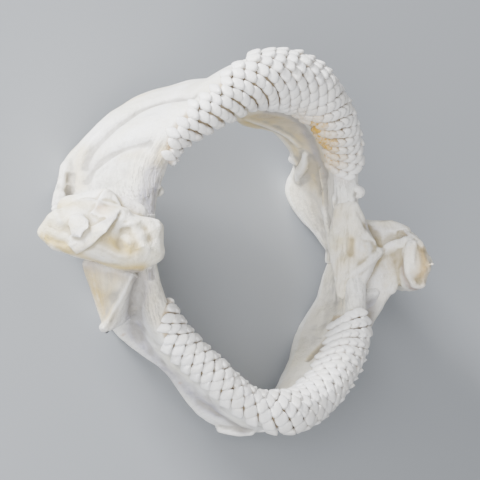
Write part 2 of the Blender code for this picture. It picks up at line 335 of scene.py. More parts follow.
upperRightMoves = {
    ("front", 1): (0, 0.5, 0, 0),
    ("front", 2): (0.6, 0.7, 0, -0.2),
    ("front", 3): (1.0, 0.7, 0, -0.1),
    ("front", 4): (1.5, 0.2, 0, 0),
    ("front", 5): (1.5, 0, 0, 0),
    ("back", 1): (0.2, 0.3, 0, 0),
    ("back", 2): (0.3, 0.3, 0, 0),
    ("back", 3): (0.5, 0.4, 0, 0),
    ("back", 4): (-0.4, -0.4, 0, -0.5),
}
upperLeftMoves = {
    ("front", 2): (-0.1, 0, 0, 0),
    ("front", 3): (-0.2, 0, 0, 0),
    ("front", 4): (-0.4, 0, 0, 0),
    ("back", 1): (0, -2.4, 0, 0),
    ("back", 2): (1.3, 1.2, 0, -0.3),
    ("back", 3): (1.0, 0.3, 0, -0.3),
    ("back", 4): (-1.2, 0, -0.6, 0),
    ("back", 5): (-0.7, 0, 0, 0),
}
lowerRightMoves = {
    ("front", 1): (0, -1.0, 0, -0.7),
    ("front", 2): (0.4, -0.2, 0, -0.3),
    ("front", 3): (0.8, -0.2, 0, 0),
    ("front", 4): (2.8, 0, 0, 0),
    ("front", 5): (2.0, 0, 0, 0),
    ("back", 1): (-0.3, 0.2, 1.1, 0),
    ("back", 2): (0, 0, 1.4, -0.1),
}
lowerLeftMoves = {
    ("back", 2): (-0.6, 0.4, 0, 0),
    ("back", 3): (-0.5, 0, 0, 0),
    ("back", 4): (-1.8, 0, -1.0, 0),
    ("back", 5): (2.2, 0, 0, 0),
}
upperJaws = {-1: nudged(upperJaw, upperRightMoves), 1: nudged(upperJaw, upperLeftMoves)}
lowerJaws = {-1: nudged(lowerJaw, lowerRightMoves), 1: nudged(lowerJaw, lowerLeftMoves)}
lowerJaws[-1]["bandEnd"] = 0.705  # the right band ends a little sooner
# Points of a half along it and round its edge, faces and rim, those of the inner face that gum can reach,
# and the skin's voxels in mm and rounds of smoothing
meshing = {"along": 150, "edge": 40, "face": 34, "rim": 20, "inner": 14, "voxel": 0.36, "smooth": 3}


def throughFour(a, b, c, d, f):
    # the smooth curve through four points, at f of the way from b to c
    bend, twist = 2 * a - 5 * b + 4 * c - d, 3 * b - a - 3 * c + d
    return 0.5 * (2 * b + (c - a) * f + bend * f**2 + twist * f**3)


def curveAt(rows, t):
    points = np.asarray(rows, float).reshape(len(rows), -1)
    mirrored = points[1].copy()
    if points.shape[1] == 4:
        mirrored[0] *= -1
    points = np.vstack([mirrored, points, 2 * points[-1] - points[-2]])
    place = min(max(t, 0.0), 1.0) * (len(rows) - 1)
    i = min(int(place), len(rows) - 2)
    return throughFour(*points[i : i + 4], place - i)


def frameAt(jaw, t):
    front, back = curveAt(jaw["front"], t), curveAt(jaw["back"], t)
    before, after = max(t - 0.01, 0), min(t + 0.01, 1)
    along = sum(curveAt(jaw[key], after) - curveAt(jaw[key], before) for key in ("front", "back"))[:3]
    if t <= 0:
        along = np.array([1.0, 0, 0])
    forward = front[:3] - back[:3]
    forward /= np.linalg.norm(forward)
    along -= forward * (along @ forward)
    out = np.cross(along / np.linalg.norm(along), forward)
    if out @ np.array([front[0], front[1], 0]) < 0:
        out = -out
    return front, back, forward, out


def sectionAt(jaw, t):
    front, back, forward, out = frameAt(jaw, t)
    web, bow = curveAt(jaw["web"], t)[0], curveAt(jaw["bow"], t)[0]

    def arc(centre, radius, angles):
        a = np.radians(angles)[:, None]
        return centre + radius * (forward * np.cos(a) + out * np.sin(a))

    def face(shares, side):
        s = shares[:, None]
        edge = np.where(s < 0.5, front[3], back[3])
        thick = web + (edge - web) * np.cos(math.pi * s) ** 2
        middle = front[:3] + (back[:3] - front[:3]) * s + out * bow * np.sin(math.pi * s)
        return middle + side * thick * out

    shares = np.linspace(0, 1, meshing["face"] + 2)[1:-1]
    return np.vstack(
        [
            arc(front[:3], front[3], np.linspace(-90, 90, meshing["edge"])),
            face(shares, 1),
            arc(back[:3], back[3], np.linspace(90, 270, meshing["rim"])),
            face(shares[::-1], -1),
        ]
    )


def skinPoint(jaw, t, angle, lift=0.0):
    # above the cartilage, at an angle round the front edge that runs on to the inner face
    front, back, forward, out = frameAt(jaw, t)
    if angle > -90:
        a = math.radians(angle)
        return front[:3] + (front[3] + lift) * (forward * math.cos(a) + out * math.sin(a))
    crowns = 1.5  # mm, as high as the teeth stand
    share = math.radians(-90 - angle) * (front[3] + crowns) / np.linalg.norm(front[:3] - back[:3])
    web, bow = curveAt(jaw["web"], t)[0], curveAt(jaw["bow"], t)[0]
    thick = web + (front[3] - web) * math.cos(math.pi * share) ** 2
    middle = front[:3] + (back[:3] - front[:3]) * share + out * bow * math.sin(math.pi * share)
    return middle - (thick + lift) * out


def loftHalf(jaw):
    # rings from past the symphysis to past the joint, and the lie of each point along and around
    rings, lies = [], []
    steps = np.linspace(0, 1, meshing["along"])
    travelled, last = 0.0, None
    for t in steps:
        ring = sectionAt(jaw, t)
        centre = ring.mean(axis=0)
        travelled += 0 if last is None else float(np.linalg.norm(centre - last))
        last = centre
        rings.append(ring)
        spans = np.linalg.norm(np.diff(ring, axis=0, append=ring[:1]), axis=1)
        turn = np.cumsum(spans) / spans.sum() * 2 * math.pi
        radius = spans.sum() / (2 * math.pi)
        onward = np.full(len(ring), travelled)
        lies.append(np.stack([onward, radius * np.cos(turn), radius * np.sin(turn)], 1))
    sign = math.copysign(1, jaw["front"][0][1])
    first, end = rings[0].copy(), rings[-1].copy()
    first[:, 0] = -jaw["middle"]
    end[:, 1] = -sign * jaw["over"]
    rings = [first, *rings, end]
    lies = [lies[0], *lies, lies[-1]]
    return np.array(rings), np.array(lies)


def ringsMesh(rings, bm):
    rows = [[bm.verts.new(p) for p in ring] for ring in rings]
    for row, following in zip(rows, rows[1:]):
        for k in range(len(row)):
            bm.faces.new((row[k - 1], row[k], following[k], following[k - 1]))
    bm.faces.new(rows[0])
    bm.faces.new(rows[-1])


def ballInto(bm, centre, radius, fineness):
    for v in bmesh.ops.create_icosphere(bm, subdivisions=fineness, radius=1)["verts"]:
        v.co = Vector(centre) + v.co * radius


def hullOf(balls):
    # the taut skin round a few balls
    cloud, bm = bmesh.new(), bmesh.new()
    for x, y, z, radius in balls:
        ballInto(cloud, (x, y, z), radius, fineness=2)
    for v in cloud.verts:
        bm.verts.new(v.co)
    cloud.free()
    bmesh.ops.convex_hull(bm, input=bm.verts)
    bmesh.ops.delete(bm, geom=[v for v in bm.verts if not v.link_faces], context="VERTS")
    bm.normal_update()
    bmesh.ops.recalc_face_normals(bm, faces=bm.faces)
    return bm


def addTo(bm, other):
    copy = {v: bm.verts.new(v.co) for v in other.verts}
    for face in other.faces:
        bm.faces.new([copy[v] for v in face.verts])
    other.free()


def newObject(name, mesh):
    obj = bpy.data.objects.new(name, mesh)
    bpy.context.collection.objects.link(obj)
    return obj


def solidify(name, bm, voxel, smooth):
    # one skin round all the shapes in bm, in mm
    bm.normal_update()
    bmesh.ops.recalc_face_normals(bm, faces=bm.faces)
    mesh = bpy.data.meshes.new(name + "Raw")
    bm.to_mesh(mesh)
    bm.free()
    raw = newObject(name + "Raw", mesh)
    skin = raw.modifiers.new("skin", "REMESH")
    skin.mode, skin.voxel_size = "VOXEL", voxel
    even = raw.modifiers.new("even", "SMOOTH")
    even.factor, even.iterations = 0.5, smooth
    depsgraph = bpy.context.evaluated_depsgraph_get()
    made = bpy.data.meshes.new_from_object(raw.evaluated_get(depsgraph))
    bpy.data.objects.remove(raw)
    bpy.data.meshes.remove(mesh)
    made.name = name
    return made


def getPoints(mesh):
    flat = np.empty(len(mesh.vertices) * 3)
    mesh.vertices.foreach_get("co", flat)
    return flat.reshape(-1, 3)


def setPoints(mesh, points):
    mesh.vertices.foreach_set("co", np.asarray(points, float).ravel())
    mesh.update()


def getNormals(mesh):
    flat = np.empty(len(mesh.vertices) * 3)
    mesh.vertices.foreach_get("normal", flat)
    return flat.reshape(-1, 3)


def paint(mesh, name, values):
    layer = mesh.attributes.get(name) or mesh.attributes.new(name, "FLOAT", "POINT")
    layer.data.foreach_set("value", np.asarray(values, np.float32))


def smoothPath(points, step):
    # even points along a smooth curve through the given ones
    points = np.asarray(points, float)
    ends = np.vstack([2 * points[0] - points[1], points, 2 * points[-1] - points[-2]])
    made = []
    for i in range(len(points) - 1):
        a, b, c, d = ends[i : i + 4]
        count = max(int(np.linalg.norm(c - b) / step), 1)
        for k in range(count):
            made.append(throughFour(a, b, c, d, k / count))
    made.append(points[-1])
    return np.array(made)


def skinTree(source):
    # the skin of a mesh or bmesh in mm, for lines of sight on the floor's frame
    if isinstance(source, bmesh.types.BMesh):
        source.verts.index_update()
        places, faces = [v.co for v in source.verts], [[v.index for v in f.verts] for f in source.faces]
    else:
        places, faces = getPoints(source), [tuple(f.vertices) for f in source.polygons]
    return BVHTree.FromPolygons([Vector(p) for p in toFloor(places)], faces)


def seenAt(tree, x, y):
    # what a spot of the picture shows, or the point abreast of the nearest skin if it shows none
    ray = lineOfSight(x, y)
    place, normal = tree.ray_cast(viewPoint, ray)[:2]
    if place is None:
        near = tree.find_nearest(viewPoint + ray * view["distance"])[0]
        for _ in range(3):
            near = tree.find_nearest(viewPoint + ray * (near - viewPoint).dot(ray))[0]
        return viewPoint + ray * (near - viewPoint).dot(ray), Vector(viewBack)
    return place, normal


def abreast(x, y, anchor, lift=0.0):
    # a spot of the picture at the depth of an anchor in the jaw's frame, lifted towards the camera by mm
    ray = lineOfSight(x, y)
    depth = (viewPoint - Vector(toFloor([anchor])[0])).dot(viewBack) - lift / 1000
    return toJaw([viewPoint + ray * depth / -ray.dot(viewBack)])[0]


def pathOnTree(tree, path, step):
    spots = smoothPath(path, step) if len(path) > 1 else np.asarray(path, float)
    found = [tree.ray_cast(viewPoint, lineOfSight(x, y)) for x, y in spots]
    kept = [(place, normal) for place, normal, *_ in found if place is not None]
    if not kept:
        return [], []
    places = toJaw([place for place, _ in kept])
    turns = toJaw([place + normal * 0.001 for place, normal in kept]) - places
    return places, turns


def addCords(bm, tree, cords):
    # rounded ridges, each a chain of balls
    for ridge in cords:
        radii, lifts = ridge["radii"], ridge["lifts"]
        path = smoothPath(ridge["path"], 1.2)
        for i, (x, y) in enumerate(path):
            share = i / (len(path) - 1)
            radius = float(np.interp(share, np.linspace(0, 1, len(radii)), radii))
            lift = float(np.interp(share, np.linspace(0, 1, len(lifts)), lifts))
            place, normal = seenAt(tree, x, y)
            centre = toJaw([place + (viewBack * lift - normal * radius * ridge["sink"]) / 1000])[0]
            ballInto(bm, centre, radius, fineness=1)


def addFlaps(bm, tree, flaps):
    # sheets that lie on the skin, closed underneath by a root in it
    root = 0.8  # mm
    for sheet in flaps:
        outline, lifts = np.asarray(sheet["outline"], float), np.array(sheet["lifts"])
        flat = bmesh.new()
        corners = [flat.verts.new((x, y, 0)) for x, y in outline]
        flat.faces.new(corners)
        bmesh.ops.triangulate(flat, faces=flat.faces)
        bmesh.ops.subdivide_edges(flat, edges=flat.edges, cuts=7, use_grid_fill=True)
        bmesh.ops.triangulate(flat, faces=flat.faces)
        tops, bottoms = {}, {}
        for v in flat.verts:
            weights = 1 / (np.linalg.norm(outline - np.array(v.co[:2]), axis=1) ** 2 + 0.5)
            lift = float(weights @ lifts / weights.sum())
            place = seenAt(tree, v.co.x, v.co.y)[0]
            tops[v] = bm.verts.new(toJaw([place + viewBack * lift / 1000])[0])
            bottoms[v] = bm.verts.new(toJaw([place - viewBack * root / 1000])[0])
        for face in flat.faces:
            bm.faces.new([tops[v] for v in face.verts])
            bm.faces.new([bottoms[v] for v in reversed(face.verts)])
        for edge in flat.edges:
            if edge.is_boundary:
                a, b = edge.verts
                bm.faces.new((tops[a], tops[b], bottoms[b], bottoms[a]))
        flat.free()


def toJaw(points):
    c, s = math.cos(pose["lean"]), math.sin(pose["lean"])
    x, y, z = (np.asarray(points, float).reshape(-1, 3) * 1000 - np.array(pose["shift"])).T
    return np.stack([x, y * c + z * s, -y * s + z * c], 1)


def distanceTo(points, path):
    # nearest distance to a path and the share of its length there
    best = np.full(len(points), 1e9)
    share = np.zeros(len(points))
    if len(path) == 1:
        return np.linalg.norm(points - path[0], axis=1), share
    lengths = np.concatenate([[0], np.cumsum(np.linalg.norm(np.diff(path, axis=0), axis=1))])
    for i in range(len(path) - 1):
        a, ab = path[i], path[i + 1] - path[i]
        f = np.clip((points - a) @ ab / max(ab @ ab, 1e-9), 0, 1)
        d = np.linalg.norm(points - a - f[:, None] * ab, axis=1)
        near = d < best
        best[near] = d[near]
        share[near] = ((lengths[i] + f * (lengths[i + 1] - lengths[i])) / lengths[-1])[near]
    return best, share


def pressStrokes(mesh, strokes):
    # raises or lowers the skin along strokes drawn on the picture, and paints it there
    for drawn in strokes:
        points, normals = getPoints(mesh), getNormals(mesh)
        path, turns = pathOnTree(skinTree(mesh), drawn["path"], 2.0)
        if len(path) == 0:
            print("stroke missed", drawn["path"][0])
            continue
        facing = turns.mean(axis=0)
        facing /= np.linalg.norm(facing)
        width, taper = drawn["width"], drawn["taper"]
        low, high = path.min(axis=0) - 4 * width, path.max(axis=0) + 4 * width
        close = np.all((points > low) & (points < high), axis=1) & (normals @ facing > drawn["facing"])
        chosen = np.where(close)[0]
        if not len(chosen):
            continue
        d, share = distanceTo(points[chosen], path)
        fade = 1.0
        if len(path) > 1 and taper:
            fade = np.sqrt(np.clip(np.minimum(share, 1 - share) / taper, 0, 1))
        amount = np.exp(-((d / width) ** 2)) * fade
        if drawn["height"]:
            points[chosen] += normals[chosen] * (amount * drawn["height"])[:, None]
            setPoints(mesh, points)
        for name, strength in drawn["paint"].items():
            layer = mesh.attributes[name]
            values = np.empty(len(points), np.float32)
            layer.data.foreach_get("value", values)
            values[chosen] = np.clip(values[chosen] + amount * strength, 0, 1)
            layer.data.foreach_set("value", values)


def hollows(mesh, rounds):
    # mm that each point lies below its surroundings
    points, normals = getPoints(mesh), getNormals(mesh)
    ends = np.empty(len(mesh.edges) * 2, np.int64)
    mesh.edges.foreach_get("vertices", ends)
    a, b = ends.reshape(-1, 2).T
    count = np.bincount(ends, minlength=len(points))[:, None]
    even = points
    size = len(points)
    for _ in range(rounds):
        total = [np.bincount(a, even[b, k], size) + np.bincount(b, even[a, k], size) for k in range(3)]
        even = (even + np.stack(total, 1) / count) / 2
    return ((even - points) * normals).sum(axis=1)


# Painted shade in the hollows of the skin and painted highlight on its crests
paintedLight = {  # rounds of smoothing, the mm where the paint starts, and the mm over which it fills
    "deep": (40, 0.01, 0.22),
    "fine": (6, 0.004, 0.035),
    "fineShare": 0.6,
    "crest": (10, 0.12),
    "crestLess": 0.3,
}


def paintShadeAndHighlight(mesh):
    # paints shade where the skin lies below its surroundings, and highlight on its crests
    made = {}
    for key in ("deep", "fine"):
        rounds, start, over = paintedLight[key]
        made[key] = np.clip((hollows(mesh, rounds) - start) / over, 0, 1)
    paint(mesh, "hollowShadeAndGrain", np.clip(made["deep"] + made["fine"] * paintedLight["fineShare"], 0, 1))
    rounds, over = paintedLight["crest"]
    paint(mesh, "crest", np.clip(-hollows(mesh, rounds) / over - paintedLight["crestLess"], 0, 1))


def ripple(points, size, seed):
    # soft uneven swelling, a few sine waves in drawn directions
    draw = np.random.default_rng(seed)
    total = np.zeros(len(points))
    for k in range(9):
        direction = draw.normal(size=3)
        direction *= 2 * math.pi / size / np.linalg.norm(direction) * draw.uniform(0.6, 1.7)
        total += np.sin(points @ direction + draw.uniform(0, 2 * math.pi)) / 3
    return total


def swell(mesh, points, seed, waves):
    # waves: their length and height in mm
    total = sum(ripple(points, length, seed + k) * height for k, (length, height) in enumerate(waves))
    setPoints(mesh, points + getNormals(mesh) * total[:, None])


def finishPiece(mesh, name, material, replaced):
    points = toFloor(getPoints(mesh))
    points[:, 2] = np.maximum(points[:, 2], 0)  # rests on small flats
    setPoints(mesh, points)
    mesh.materials.clear()
    mesh.materials.append(material)
    mesh.polygons.foreach_set("use_smooth", np.ones(len(mesh.polygons), bool))
    obj = newObject(name, mesh)
    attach(obj, "root")
    if replaced:
        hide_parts(*replaced)
    mesh.calc_loop_triangles()
    print(name, len(mesh.loop_triangles), "triangles")
    return obj


paints = ("tan", "shade", "stain", "gum", "fibre")

teethPlan = {
    "along": (3.3, 2.6),  # mm from file to second file, at the symphysis and at the band's end
    "across": (4.5, 4.5),  # mm from tooth to tooth in a file
    "middle": -18,  # degrees, where the middle row stands
    "rounding": 0.14,  # share of the half jaw over which a band's end closes
    "jitter": 0.1,  # mm
    "outerFrom": 0.86,  # share of the band, from its inner edge, past which crowns are pointed
    "innerTo": 0.08,  # and before which some are
    "innerShare": 0.4,
    "widest": 1.25,  # how far a crown may stretch where the files fan out
    "widths": (0.97, 1.04),
    "heights": (0.9, 1.1),
    "tilt": 6,  # degrees that the free edges stand up
    "seed": 7,
}


def bandLimits(jaw, t):
    low, high = curveAt(jaw["band"], t)
    middle = teethPlan["middle"]
    past = (t - jaw["bandEnd"]) / teethPlan["rounding"] + 1
    share = math.sqrt(max(1 - max(past, 0) ** 2, 0))
    return middle + (low - middle) * share, middle + (high - middle) * share


# The fin below each joint: a crest that runs down and out to a knob. Spots of the picture, depth, radius.
fin = {
    "anchor": (-34, -12, 0),
    "body": [
        (87, 264, 5.0, 1.5),
        (104, 300, 4.0, 1.5),
        (109, 325, 4.0, 1.4),
        (131, 277, 6.0, 1.2),
        (128, 315, -1.0, 1.5),
        (140, 285, -1.0, 2.0),
        (110, 268, -1.0, 3.0),
    ],
}


def finHull(side, inset=0.0):
    balls = []
    for x, y, lift, radius in fin["body"]:
        place = abreast(x, y, fin["anchor"], lift)
        balls.append((-side * (place[0] + inset), place[1], place[2], radius))
    return hullOf(balls)


def cord(path, radii, sink=0.4, lifts=(0,)):
    # a ridge: spots of the picture, radii in mm from end to end, the share of them that is sunk,
    # and mm towards the camera where it bridges a gap
    return {"path": path, "radii": radii, "sink": sink, "lifts": lifts}


def flap(outline, lifts):
    # a sheet: its corners in the picture, and how many mm each stands off the skin
    return {"outline": outline, "lifts": lifts}


def stroke(path, width, height=0.0, taper=None, facing=0.0, **paint):
    # a groove, a swelling, a stain or painted shade along spots of the picture; width and height in mm
    if taper is None:
        taper = 0.15 if width < 1.2 else 0
    return {"path": path, "width": width, "height": height, "taper": taper, "facing": facing, "paint": paint}


upperRight = {
    "cords": [
        cord(
            [(66, 166), (64, 178), (63, 192), (61, 206)],
            [1.6, 1.7, 1.8, 1.8], sink=0.2, lifts=[0, 2, 5, 8],
        ),
        cord(
            [(137, 149), (120, 155), (105, 163), (94, 175), (94, 186)],
            [0.5, 0.8, 1.0, 1.0, 0.8], sink=0.65,
        ),
        cord([(104, 128), (92, 139), (83, 152), (79, 163)], [0.5, 0.8, 0.8, 0.5], sink=0.7),
        cord([(69, 187), (70, 190)], [1.1], sink=0.3),
        cord([(160, 187), (161, 192), (159, 195)], [0.7, 1.0, 0.7], sink=0.0),
    ],
    "strokes": [
        stroke(
            [(192, 95), (150, 104), (121, 121), (104, 136), (91, 150), (84, 166)],
            1.5, height=-1.0, shade=0.4,
        ),
        stroke([(70, 172), (69, 188), (68, 206)], 1.0, height=-0.9, tan=0.6, shade=0.3),
        stroke([(68, 196), (69, 206)], 0.9, height=-0.5, stain=0.35),
        stroke([(148, 143), (126, 148), (108, 156), (94, 166), (86, 180)], 1.3, height=-0.7, shade=0.35),
        stroke([(150, 124), (126, 140)], 4.0, height=0.6),
        stroke([(106, 180), (120, 172)], 3.6, height=-0.6, shade=0.2),
        stroke([(152, 172), (149, 192), (146, 213)], 2.0, height=-0.5, shade=1.0, fibre=1.0),
        stroke([(151, 180), (146, 213)], 2.0, shade=1.0),
        stroke([(161, 148), (152, 160), (142, 180), (134, 198)], 3.2, fibre=0.8, tan=0.15),
        stroke([(163, 150), (158, 160)], 1.8, tan=0.6),
        stroke([(122, 156), (140, 151)], 1.6, tan=0.4),
        stroke([(68, 158), (84, 134), (110, 112), (150, 92), (200, 80)], 1.0, facing=-1.0, tan=0.35),
        stroke([(84, 150), (79, 166), (80, 186)], 1.8, tan=0.4),
    ],
}
upperLeft = {
    "cords": [
        cord([(298, 180), (302, 171), (306, 162), (306, 154)], [0.8, 1.5, 1.5, 0.9], sink=0.35),
        cord([(292, 159), (296, 162)], [1.1, 0.9], sink=0.0),
        cord(
            [(320, 170), (324, 188), (326, 208), (330, 230), (334, 256)],
            [0.5, 0.9, 0.9, 0.9, 0.6], sink=0.6,
        ),
        cord([(334, 196), (337, 216), (342, 240)], [0.4, 0.6, 0.5], sink=0.6),
        cord([(352, 200), (349, 222), (354, 240)], [0.5, 0.8, 0.7], sink=0.6),
        cord([(357, 188), (361, 192), (359, 195)], [0.8, 1.1, 0.8], sink=0.2),
    ],
    "strokes": [
        stroke([(296, 108), (316, 124), (332, 142), (341, 166)], 3.0, facing=-1.0, stain=0.9),
        stroke([(250, 122), (285, 130), (300, 144), (311, 165)], 5.0, facing=-1.0, tan=1.0),
        stroke([(262, 116), (288, 122), (306, 138), (316, 160)], 2.0, facing=-1.0, tan=0.6, shade=0.4),
        stroke([(268, 112), (292, 118), (308, 134), (318, 158), (326, 176)], 1.3, height=-0.3, shade=0.8),
        stroke([(244, 118), (268, 126), (288, 136), (300, 148)], 0.8, height=0.5, tan=-0.5),
        stroke([(312, 160), (318, 180), (322, 200)], 1.6, height=-0.5, tan=0.6),
        stroke([(299, 178), (303, 167), (303, 156)], 1.5, facing=-1.0, tan=-1.0),
        stroke([(306, 180), (312, 205), (322, 232)], 3.0, height=-0.4, tan=0.15, shade=0.15),
        stroke([(340, 190), (342, 225), (345, 255)], 3.0, fibre=0.6),
        stroke([(333, 200), (335, 225)], 0.7, height=-0.5, tan=0.5),
    ],
}
lowerRight = {
    "cords": [
        cord(
            [(132, 276), (126, 288), (116, 306), (107, 322), (102, 330)],
            [0.5, 0.6, 0.75, 0.9, 1.3], sink=0.1,
        ),
        cord([(217, 427), (228, 429), (240, 430), (252, 431)], [0.7, 1.0, 1.0, 0.7], sink=0.6),
        cord([(91, 270), (98, 298), (104, 314)], [0.4, 0.6, 0.4], sink=0.5),
    ],
    "strokes": [
        stroke([(141, 288), (134, 310), (136, 335)], 2.8, height=-0.9, shade=0.9),
        stroke([(149, 280), (150, 300), (156, 318)], 2.4, fibre=0.9, tan=0.4),
        stroke([(151, 268), (153, 280)], 1.0, height=-0.4, shade=1.0, fibre=1.0),
        stroke(
            [(82, 264), (90, 284), (99, 300), (105, 314)],
            2.6, height=-0.3, facing=-1.0, tan=1.0, stain=0.12,
        ),
        # painted shadow of the joint lump on the fin, in grey and tan
        stroke([(82, 262), (100, 268), (120, 273), (140, 276)], 1.5, facing=-1.0, shade=0.7, tan=0.5),
        stroke([(96, 272), (122, 280)], 3.0, tan=0.35),
        stroke([(112, 278), (112, 296)], 1.4, height=-0.3, tan=0.3),
        stroke([(136, 335), (160, 365), (185, 390), (210, 408)], 2.6, height=-0.4, shade=0.85),
        stroke([(200, 404), (225, 420), (246, 432)], 1.3, height=-0.4, shade=0.9),
        stroke([(150, 340), (170, 362)], 1.6, height=0.3, shade=-0.5),
        stroke([(122, 334), (124, 336)], 0.7, stain=0.8),
        stroke([(179, 382), (181, 384)], 0.6, stain=0.8),
    ],
}
lowerLeft = {
    "cords": [
        cord([(340, 262), (336, 280), (334, 300)], [0.6, 0.8, 0.4], sink=0.6),
        cord([(348, 285), (345, 300), (343, 314)], [0.5, 0.6, 0.4], sink=0.6),
    ],
    "strokes": [
        stroke([(344, 317), (332, 334), (319, 347), (306, 362)], 0.8, height=-0.8, tan=0.9),
        stroke([(332, 322), (322, 338)], 1.0, height=0.3),
        stroke([(372, 304), (370, 325)], 1.8, height=-0.4, shade=0.9),
        stroke([(345, 270), (343, 300)], 2.4, fibre=0.6, tan=0.2),
        stroke([(312, 300), (305, 340)], 4.0, shade=0.2),
    ],
}


halfPaint = {
    "gumEdge": 12,  # degrees over which the gum fades in at the edges of the band
    "gumLeast": 2,  # degrees of band that have gum at all
    "fibre": (0.6, 0.35, 0.6),  # share of the half where it starts and over which it fills, and amount
    "innerTan": 0.2,
}


def halfJaw(name, jaw, side, node, extra, details, seed):
    rings, lies = loftHalf(jaw)
    rings = rings * (side, 1, 1)
    bm = bmesh.new()
    ringsMesh(rings, bm)
    for other in extra:
        addTo(bm, other)
    addCords(bm, skinTree(bm), details["cords"])
    mesh = solidify(name, bm, meshing["voxel"], meshing["smooth"])
    points = getPoints(mesh)
    near = KDTree(rings.shape[0] * rings.shape[1])
    for i, p in enumerate(rings.reshape(-1, 3)):
        near.insert(p, i)
    near.balance()
    nearest = np.array([near.find(p)[1] for p in points])
    layer = mesh.attributes.new("lay", "FLOAT_VECTOR", "POINT")
    layer.data.foreach_set("vector", (lies.reshape(-1, 3)[nearest] / 1000).astype(np.float32).ravel())
    for key in paints:
        paint(mesh, key, np.zeros(len(points)))
    # the gum shows between the teeth, and fibres run towards the joint
    ring, place = nearest // rings.shape[1], nearest % rings.shape[1]
    t = np.clip((ring - 1) / (meshing["along"] - 1), 0, 1)
    edge, inner = meshing["edge"], rings.shape[1] - meshing["inner"]
    angle = np.where(place < edge, -90 + 180 * place / (edge - 1), np.where(place > inner, -100, 180))
    steps = np.linspace(0, 1, 101)
    limits = np.array([bandLimits(jaw, u) for u in steps])
    low, high = np.interp(t, steps, limits[:, 0]), np.interp(t, steps, limits[:, 1])
    gum = np.clip(np.minimum(angle - low, high - angle) / halfPaint["gumEdge"], 0, 1)
    paint(mesh, "gum", gum * (high - low > halfPaint["gumLeast"]))
    start, over, most = halfPaint["fibre"]
    paint(mesh, "fibre", np.clip((t - start) / over, 0, 1) * most)
    paint(mesh, "tan", (place > edge + meshing["face"] + meshing["rim"]) * halfPaint["innerTan"])
    swell(mesh, points, seed, [(14, 0.16), (5, 0.06)])
    pressStrokes(mesh, details["strokes"])
    paintShadeAndHighlight(mesh)
    return finishPiece(mesh, name, cartilage, [node])


halfJaw("upperJawRight", upperJaws[-1], -1, "upper_jaw_right", [], upperRight, 2)
halfJaw("upperJawLeft", upperJaws[1], 1, "upper_jaw_left", [], upperLeft, 4)
halfJaw("lowerJawRight", lowerJaws[-1], -1, "lower_jaw_right", [finHull(-1)], lowerRight, 8)
halfJaw("lowerJawLeft", lowerJaws[1], 1, "lower_jaw_left", [finHull(1, 1.6)], lowerLeft, 10)

# Teeth
crown = {  # mm
    "along": 1.43,  # half of its size, as the next
    "across": 1.8,
    "height": 1.5,
    "aside": 0.15,  # how far the top may stand off the middle
    "over": 0.1,  # how much higher it may be
    "pitch": (3.5, 4.4),  # the spacing at which a crown has just this size
    "around": 12,  # points
}


def crownMesh(name, tipAngle, style, draw):
    # one crown on its root, in mm: X along the band, Y across it to the outside, Z off the cartilage
    bm = bmesh.new()
    tx, ty = math.cos(tipAngle), math.sin(tipAngle)
    p, skew, tip, rise = style["squareness"], style["skew"], style["tip"], style["rise"]
    grid = []
    for z, share in style["profile"]:
        row = []
        up = max(z, 0) / crown["height"]
        for k in range(crown["around"]):
            a = 2 * math.pi * k / crown["around"]
            c, s = math.cos(a), math.sin(a)
            r = (abs(c) ** p + abs(s) ** p) ** (-1 / p) * (1 - skew * math.sin(2 * a)) * share
            push = tip * up * max(c * tx + s * ty, 0) ** 2
            x, y = r * c * crown["along"] + push * tx, r * s * crown["across"] + push * ty
            row.append(bm.verts.new((x, y, z + rise * up * (c * tx + s * ty) * share)))
        grid.append(row)
    for row, following in zip(grid, grid[1:]):
        for k in range(len(row)):
            bm.faces.new((row[k - 1], row[k], following[k], following[k - 1]))
    aside, over = crown["aside"], crown["over"]
    x, y = draw.uniform(-aside, aside), draw.uniform(-aside, aside)
    top = bm.verts.new((x, y, crown["height"] + draw.uniform(0, over)))
    for k in range(crown["around"]):
        bm.faces.new((grid[-1][k - 1], grid[-1][k], top))
    bm.faces.new(grid[0])
    bm.normal_update()
    bmesh.ops.recalc_face_normals(bm, faces=bm.faces)
    mesh = bpy.data.meshes.new(name)
    bm.to_mesh(mesh)
    bm.free()
    paint(mesh, "height", [min(max(v.co.z / crown["height"], 0), 1) for v in mesh.vertices])
    mesh.polygons.foreach_set("use_smooth", np.ones(len(mesh.polygons), bool))
    mesh.transform(Matrix.Scale(0.001, 4))
    return mesh


domed = [(-1.0, 0.7), (0.1, 0.82), (0.65, 1.0), (1.0, 0.97), (1.3, 0.83), (1.46, 0.52)]
flat = [(-1.0, 0.72), (0.1, 0.84), (0.8, 1.02), (1.16, 1.0), (1.38, 0.88), (1.47, 0.62)]
crownTurns = 8  # directions of the free tip
crownStyles = [
    {"profile": domed, "squareness": 1.55, "skew": 0.06, "tip": 0.1, "rise": 0.16},
    {"profile": domed, "squareness": 1.48, "skew": 0.08, "tip": 0.16, "rise": 0.22},
    {"profile": domed, "squareness": 1.42, "skew": 0.0, "tip": 0.6, "rise": 0.35},
    {"profile": flat, "squareness": 1.42, "skew": -0.03, "tip": 0.06, "rise": 0.06},
    {"profile": flat, "squareness": 1.48, "skew": -0.04, "tip": 0.1, "rise": 0.12},
    {"profile": domed, "squareness": 1.25, "skew": 0.0, "tip": 0.75, "rise": 0.35},
]


def crownKinds():
    draw = random.Random(5)
    kinds = bpy.data.collections.new("crownKinds")
    for turn in range(crownTurns):
        for i, style in enumerate(crownStyles):
            name = f"crownKind{turn}{i}"
            made = crownMesh(name, 2 * math.pi * turn / crownTurns, style, draw)
            kinds.objects.link(bpy.data.objects.new(name, made))
    return kinds


tipsPoint = (0.73, -0.45, 0.6)  # the way the free tips point, in the jaw's frame


